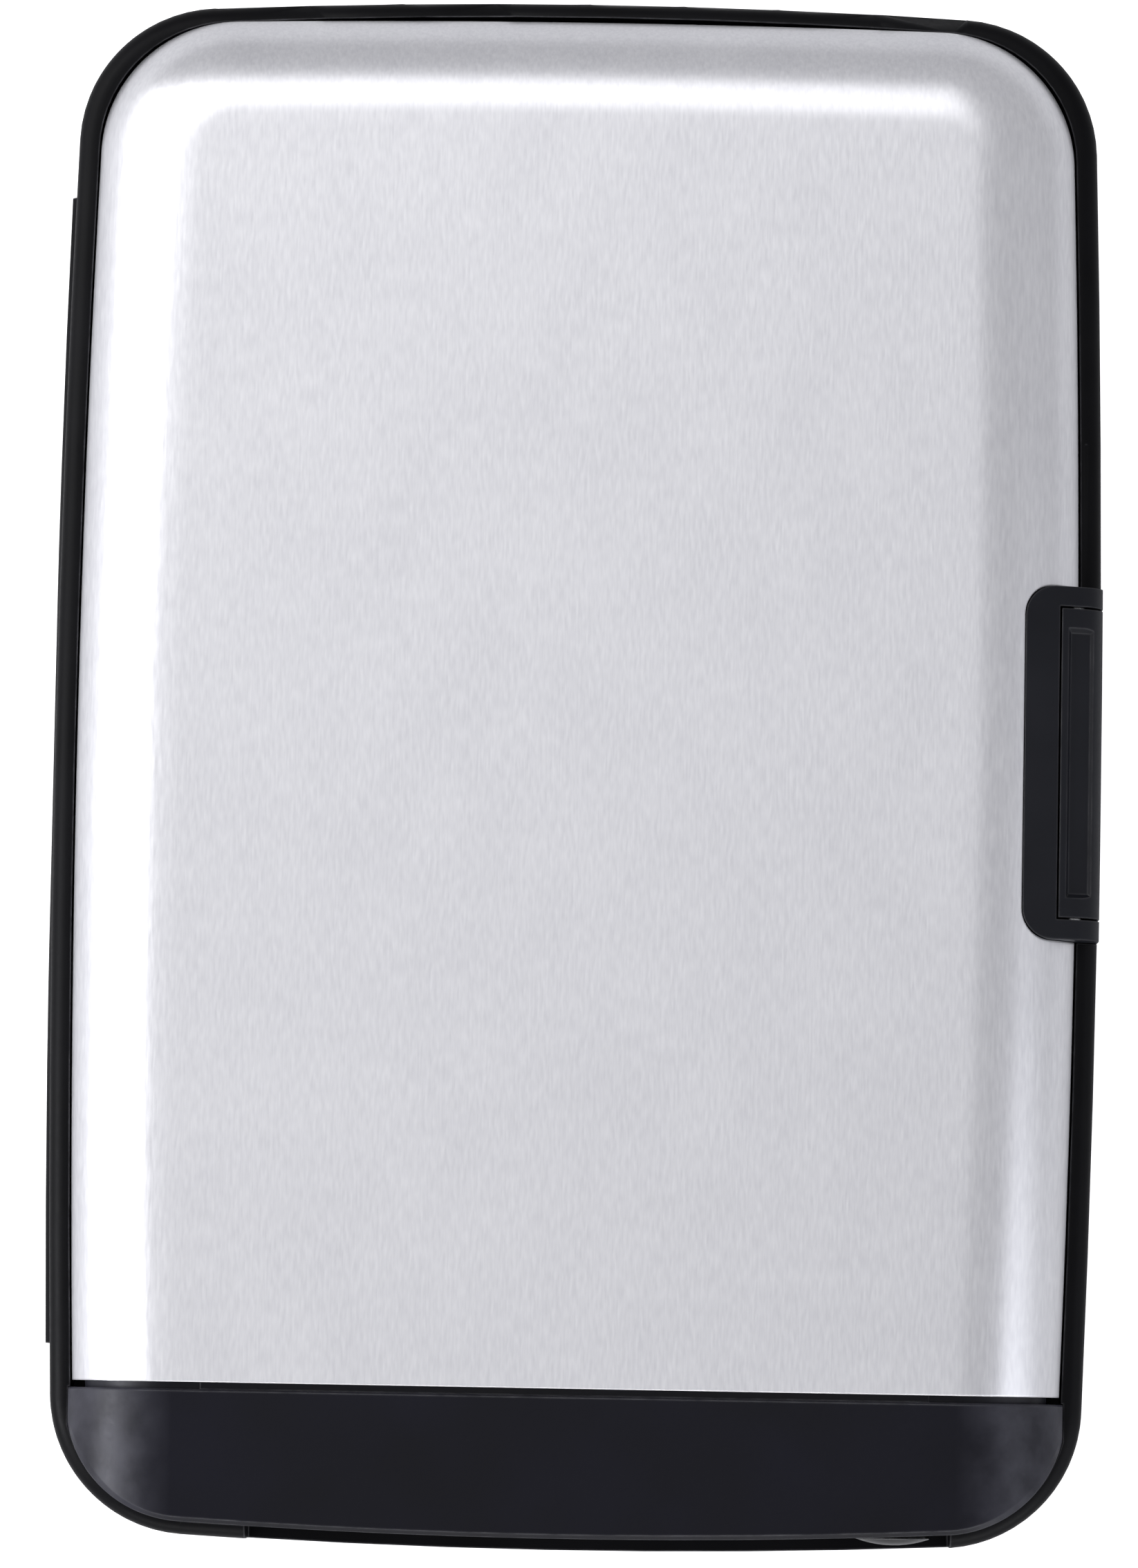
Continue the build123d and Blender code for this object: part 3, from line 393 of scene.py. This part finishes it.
finishes = {
    "brushed_aluminium": brushed_metal("aluminium", (0.76, 0.76, 0.795), (0.87, 0.87, 0.90), (0.28, 0.34),
                                       highlight_and_wear_colour=METAL_EDGE_HIGHLIGHT_AND_WEAR),
    "black_plastic": moulded("cap_plastic", (0.0005, 0.0005, 0.003), (0.0015, 0.0015, 0.006), (0.28, 0.40),
                             specular=0.22, highlight_and_wear_colour=BLACK_EDGE_HIGHLIGHT_AND_WEAR),
    "frame_plastic": moulded("frame_plastic", (0.001, 0.001, 0.0015), (0.003, 0.003, 0.004), (0.34, 0.46),
                             specular=0.09, highlight_and_wear_colour=BLACK_EDGE_HIGHLIGHT_AND_WEAR),
    "latch_plastic": moulded("latch_plastic", (0.003, 0.0035, 0.006), (0.007, 0.0075, 0.011), (0.34, 0.44),
                             highlight_and_wear_colour=LATCH_EDGE_HIGHLIGHT_AND_WEAR),
    "button_plastic": moulded("button_plastic", (0.001, 0.001, 0.002), (0.003, 0.003, 0.004), (0.34, 0.42),
                              specular=0.04, highlight_and_wear_colour=BUTTON_EDGE_HIGHLIGHT_AND_WEAR),
    "foam_tape": moulded("foam", (0.05, 0.05, 0.05), (0.08, 0.08, 0.08), (0.85, 0.95),
                         grain=0.2, height=0.03),
    "accordion_sheet": moulded("pocket_film", (0.02, 0.02, 0.021), (0.032, 0.032, 0.034), (0.42, 0.58),
                               specular=0.4, grain=0.18, height=0.01),
    "steel": brushed_metal("steel", (0.5, 0.5, 0.51), (0.66, 0.66, 0.67), (0.22, 0.32),
                           grain=0.08, draw=12),
    "plated_steel": brushed_metal("plated_steel", (0.68, 0.68, 0.69), (0.78, 0.78, 0.78), (0.18, 0.26),
                                  grain=0.1, draw=8),
    "gold_contacts": brushed_metal("gold", (0.75, 0.55, 0.22), (0.87, 0.66, 0.30), (0.2, 0.3),
                                   grain=0.1, draw=8),
    "port_plastic": moulded("port_plastic", (0.006, 0.006, 0.007), (0.012, 0.012, 0.013), (0.4, 0.5)),
    "inner_plastic": moulded("inner_plastic", (0.010, 0.010, 0.011), (0.018, 0.018, 0.019), (0.4, 0.55)),
    "cell_foil": brushed_metal("cell_foil", (0.62, 0.63, 0.65), (0.72, 0.73, 0.75), (0.36, 0.5),
                               grain=0.5, draw=3, height=0.01),
    "red_insulation": moulded("red_sleeve", (0.42, 0.01, 0.01), (0.55, 0.03, 0.02), (0.3, 0.42),
                              specular=0.5),
    "black_insulation": moulded("black_sleeve", (0.012, 0.012, 0.012), (0.02, 0.02, 0.02), (0.3, 0.42),
                                specular=0.5),
    "plug_plastic": moulded("nylon", (0.66, 0.64, 0.56), (0.76, 0.74, 0.68), (0.4, 0.5), specular=0.5),
    "board_laminate": moulded("solder_mask", (0.006, 0.07, 0.025), (0.012, 0.13, 0.05), (0.18, 0.28),
                              specular=0.5, grain=0.6),
    "led_lens": moulded("led_lens", (0.62, 0.66, 0.72), (0.72, 0.76, 0.84), (0.12, 0.18), specular=0.5),
    "clear_pipe": moulded("pipe", (0.74, 0.77, 0.80), (0.82, 0.85, 0.88), (0.06, 0.10), specular=0.5),
    "switch_body": moulded("switch_body", (0.02, 0.02, 0.02), (0.035, 0.035, 0.035), (0.4, 0.5)),
    "chip_body": moulded("chip_body", (0.014, 0.014, 0.014), (0.024, 0.024, 0.024), (0.5, 0.6)),
    "ferrite": moulded("ferrite", (0.03, 0.03, 0.032), (0.05, 0.05, 0.052), (0.6, 0.75)),
    "ceramic": moulded("ceramic", (0.30, 0.20, 0.11), (0.42, 0.30, 0.18), (0.3, 0.4)),
}

# Painted highlight on the cap's rolled sides, in patches, measured in from the side
SIDE_HIGHLIGHT_START = 7.8 * MM
SIDE_HIGHLIGHT_END = 4.2 * MM
cap_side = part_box("front_end_cap")[1].x
finishes["black_plastic"].paint_side_highlight(cap_side - SIDE_HIGHLIGHT_START, cap_side - SIDE_HIGHLIGHT_END, CAP_SIDE_HIGHLIGHT)

slot_of = {part["node"]: part["material_slot"] for part in frame["record"]["subparts"]}
for name, node in nodes.items():
    node.data.materials.clear()
    node.data.materials.append(finishes[slot_of[name]].material)

# The power button is the one glossy plastic piece; its light edge colour is a painted highlight along the
# rim of its dome
glossy = moulded("glossy_plastic", (0.001, 0.001, 0.001), (0.002, 0.002, 0.002), (0.12, 0.2),
                 specular=0.06, highlight_and_wear_colour=GLOSS_RIM_HIGHLIGHT)
nodes["power_button"].data.materials[0] = glossy.material


# Pieces that are made here
def new_piece(name, shape):
    """Piece of the given name made from the shape, which is used up."""
    bmesh.ops.recalc_face_normals(shape, faces=shape.faces)
    mesh = bpy.data.meshes.new(name)
    shape.to_mesh(mesh)
    shape.free()
    piece = bpy.data.objects.new(name, mesh)
    bpy.context.collection.objects.link(piece)
    return piece


def apply_modifiers(piece):
    """Give the piece the mesh that its modifiers make, and drop them."""
    graph = bpy.context.evaluated_depsgraph_get()
    mesh = bpy.data.meshes.new_from_object(piece.evaluated_get(graph))
    piece.modifiers.clear()
    piece.data = mesh


# Sheet shells, swept round the outline of four shallow bows and round corners
SIDE_BOW = 1.08 * MM
END_BOW = 0.6 * MM
SIDE_TRIM = 0.14 * MM
END_TRIM = 0.42 * MM
SHELL_CORNER = 10.0 * MM
DOME_RADIUS = 8.5 * MM
DOME_OVERHANG = 0.9 * MM
SHEET = 0.8 * MM
CUT_BACK = 0.15 * MM
LIP_DEPTHS = (0.9 * MM, 1.6 * MM)
LIP_REACH = 1.2 * MM
FLAT_BORDER = 1.0 * MM
SIDE_STEPS = 24
ROUND_STEPS = 28
END_STEPS = 16
DOME_STEPS = 22
SHARP_EDGE = math.radians(20)

# Window in the front sheet for the latch
WINDOW_CORNER = 2.2 * MM
WINDOW_GAP = 0.06 * MM
WINDOW_STEPS = 12

# Cutters run past what they cut, and slabs reach so many half widths or lengths from the middle
CUT_OVERRUN = 1.0 * MM
SLAB_HALVES = 2


def bow(half_chord, rise):
    """Radius of the arc that rises by rise over two half chords."""
    return (half_chord ** 2 + rise ** 2) / (2 * rise)


def quarter_outline(half_x, half_y, corner):
    """Points and outward directions along a quarter of the outline, from its side to its end."""
    side_radius = bow(half_y - END_BOW, SIDE_BOW)
    end_radius = bow(half_x - SIDE_BOW, END_BOW)
    side_centre = Vector((half_x - side_radius, 0))
    end_centre = Vector((0, half_y - end_radius))
    # The corner's centre is a corner radius short of both bows
    apart = end_centre - side_centre
    reach_side = side_radius - corner
    reach_end = end_radius - corner
    along = (reach_side ** 2 - reach_end ** 2 + apart.length_squared) / (2 * apart.length)
    across = math.sqrt(reach_side ** 2 - along ** 2)
    forward = apart.normalized()
    corner_centre = side_centre + forward * along + Vector((-forward.y, forward.x)) * across
    first = math.atan2(corner_centre.y - side_centre.y, corner_centre.x - side_centre.x)
    last = math.atan2(corner_centre.y - end_centre.y, corner_centre.x - end_centre.x)
    arcs = ((side_centre, side_radius, 0, first, SIDE_STEPS),
            (corner_centre, corner, first, last, ROUND_STEPS),
            (end_centre, end_radius, last, math.pi / 2, END_STEPS))
    outline = []
    for centre, radius, start, end, steps in arcs:
        for step in range(steps):
            angle = start + (end - start) * step / steps
            out = Vector((math.cos(angle), math.sin(angle)))
            outline.append((centre + out * radius, out))
    outline.append((Vector((0, half_y)), Vector((0, 1))))
    return outline


def full_outline(half_x, half_y, corner):
    """The quarter outline carried round all four quarters, each seam met once."""
    quarter = quarter_outline(half_x, half_y, corner)
    backward = quarter[::-1]
    outline = []
    for sign_x, sign_y, points in ((1, 1, quarter), (-1, 1, backward), (-1, -1, quarter), (1, -1, backward)):
        for point, out in points[:-1]:
            outline.append((Vector((point.x * sign_x, point.y * sign_y)),
                            Vector((out.x * sign_x, out.y * sign_y))))
    return outline


def prism(plan, low_z, high_z):
    """Upright prism over the points of plan."""
    shape = bmesh.new()
    face = shape.faces.new([shape.verts.new((x, y, low_z)) for x, y in plan])
    extruded = bmesh.ops.extrude_face_region(shape, geom=[face])
    for item in extruded["geom"]:
        if isinstance(item, bmesh.types.BMVert):
            item.co.z = high_z
    return new_piece("prism", shape)


def window_plan():
    """Plan of the latch's window, round at its two inner corners and open outwards."""
    low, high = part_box("latch_bezel")
    left = low.x - WINDOW_GAP
    ends = (low.y - WINDOW_GAP, high.y + WINDOW_GAP)
    outer = high.x + CUT_OVERRUN
    plan = [(outer, ends[1])]
    for end, start_angle in ((ends[1], math.pi / 2), (ends[0], math.pi)):
        inward = -1 if end == ends[1] else 1
        for step in range(WINDOW_STEPS + 1):
            angle = start_angle + math.pi / 2 * step / WINDOW_STEPS
            plan.append((left + WINDOW_CORNER + WINDOW_CORNER * math.cos(angle),
                         end + inward * WINDOW_CORNER + WINDOW_CORNER * math.sin(angle)))
    return plan + [(outer, ends[0])]


def dome_profile(depth):
    """Inset and drop from the top for each ring of a face at depth, from its foot to its flat."""
    centre_inset = DOME_RADIUS - DOME_OVERHANG
    radius = DOME_RADIUS - depth
    steepest = math.asin((centre_inset - depth) / radius)
    profile = []
    for step in range(DOME_STEPS + 1):
        angle = steepest * (1 - step / DOME_STEPS)
        profile.append((centre_inset - radius * math.sin(angle), DOME_RADIUS - radius * math.cos(angle)))
    return profile + [(centre_inset + FLAT_BORDER, depth)]


def dome_sheet(name, node_name, depths):
    """Closed domed sheet between two depths under the top of node_name, over its whole outline."""
    low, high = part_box(node_name)
    top, foot, down = (high.z, low.z, -1) if node_name == "front_shell" else (low.z, high.z, 1)
    outline = full_outline(-low.x - SIDE_TRIM, high.y - END_TRIM, SHELL_CORNER)
    shape = bmesh.new()
    rings = []
    for depth in depths:
        levels = [(depth, foot)] + [(inset, top + down * drop) for inset, drop in dome_profile(depth)]
        if depth == depths[1]:
            levels.reverse()
        for inset, height in levels:
            rings.append([shape.verts.new((*(point - out * inset), height)) for point, out in outline])
    # The rings run from the foot over the outer face to its flat, then from the inner flat to the foot
    inner_start = len(rings) // 2
    for index, ring in enumerate(rings):
        following = rings[(index + 1) % len(rings)]
        if index == inner_start - 1:
            shape.faces.new(ring)
            shape.faces.new(following)
            continue
        for place in range(len(ring)):
            after = (place + 1) % len(ring)
            shape.faces.new((ring[place], ring[after], following[after], following[place]))
    return new_piece(name, shape)


def cut_out(piece, plans):
    """Cut each plan's upright prism from the piece."""
    low, high = cad_box
    for plan in plans:
        cutter = prism(plan, low.z - CUT_OVERRUN, high.z + CUT_OVERRUN)
        cut = piece.modifiers.new("cut", "BOOLEAN")
        cut.object = cutter
        cut.solver = "EXACT"
        apply_modifiers(piece)
        bpy.data.objects.remove(cutter)
    piece.data.shade_smooth()
    piece.data.set_sharp_from_angle(angle=SHARP_EDGE)


def slab_plan(low_y, high_y):
    """Plan of a strip right across the wallet."""
    reach = cad_box[1].x * SLAB_HALVES
    return [(-reach, low_y), (reach, low_y), (reach, high_y), (-reach, high_y)]


far_y = cad_box[1].y * SLAB_HALVES
for side, body in (("front", "lid"), ("rear", "base")):
    node_name = side + "_shell"
    cut_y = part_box(node_name)[0].y + CUT_BACK
    dome = dome_sheet(side + "_dome", node_name, (0, SHEET))
    cut_out(dome, [slab_plan(-far_y, cut_y)] + ([window_plan()] if side == "front" else []))
    dome.data.materials.append(finishes["brushed_aluminium"].material)
    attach(dome, body)
    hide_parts(node_name)
    # Lip of the end cap, tucked under the sheet's cut edge
    lip = dome_sheet(side + "_cap_lip", node_name, LIP_DEPTHS)
    cut_out(lip, [slab_plan(cut_y + LIP_REACH, far_y), slab_plan(-far_y, cut_y - LIP_REACH)])
    lip.data.materials.append(finishes["black_plastic"].material)
    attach(lip, body)


# Folded ends and back of the accordion, one strip for each pocket
POCKETS = 7
FILM = 0.16 * MM
EDGE_LAP = 0.05 * MM
FOLD_BULGE = 0.1 * MM
FOLD_STEPS = 8
RUN_STEPS = 12
TURN_STEPS = 8


def sheet_of(index):
    """CAD sheet at the bottom of pocket index, or the last sheet above them all."""
    if index == 0:
        return "accordion_back_sheet"
    return "accordion_front_sheet" if index == POCKETS else f"divider_{index}"


def fold_path():
    """Places along the outer edge of the folds, round both corners, each with the way in to the crease."""
    low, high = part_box("pleats_top")
    spine_low, spine_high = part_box("spine_folds")
    edge_corner = low.x - spine_low.x
    crease_corner = low.x - spine_high.x
    half = []
    for step in range(RUN_STEPS):
        x = high.x + (low.x - high.x) * step / RUN_STEPS
        half.append((Vector((x, high.y, 0)), Vector((x, low.y, 0))))
    for step in range(TURN_STEPS + 1):
        angle = math.pi / 2 * (1 + step / TURN_STEPS)
        out = Vector((math.cos(angle), math.sin(angle), 0))
        half.append((Vector((low.x, high.y - edge_corner, 0)) + out * edge_corner,
                     Vector((low.x, low.y - crease_corner, 0)) + out * crease_corner))
    flip = Matrix.Scale(-1, 3, (0, 1, 0))
    path = half + [(flip @ edge, flip @ crease) for edge, crease in reversed(half)]
    return [(edge, crease - edge) for edge, crease in path]


def fold_mesh(name, path, low_z, high_z):
    """Thin strip along the path from low_z to high_z, creased inward along its middle."""
    shape = bmesh.new()
    steps = 2 * FOLD_STEPS
    rows = []
    for edge, inward in path:
        row = []
        for place in range(steps + 1):
            share = place / steps
            depth = 1 - abs(2 * share - 1)
            bulge = math.copysign(math.sin(math.pi * depth) * FOLD_BULGE, 0.5 - share)
            height = low_z + (high_z - low_z) * share + bulge
            row.append(shape.verts.new(edge + inward * depth + Vector((0, 0, height))))
        rows.append(row)
    for first, second in zip(rows, rows[1:]):
        for place in range(steps):
            shape.faces.new((first[place], second[place], second[place + 1], first[place + 1]))
    piece = new_piece(name, shape)
    piece.data.shade_smooth()
    solid = piece.modifiers.new("thickness", "SOLIDIFY")
    solid.thickness = FILM
    solid.offset = 0
    apply_modifiers(piece)
    return piece


creased_path = fold_path()
for pocket in range(POCKETS):
    low_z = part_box(sheet_of(pocket))[1].z
    high_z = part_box(sheet_of(pocket + 1))[0].z
    fold = fold_mesh(f"pleat_{pocket + 1}", creased_path, low_z + EDGE_LAP, high_z - EDGE_LAP)
    fold.data.materials.append(finishes["accordion_sheet"].material)
    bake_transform(fold)
    if pocket == 0:
        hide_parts("pleats_top", "pleats_bottom", "spine_folds")
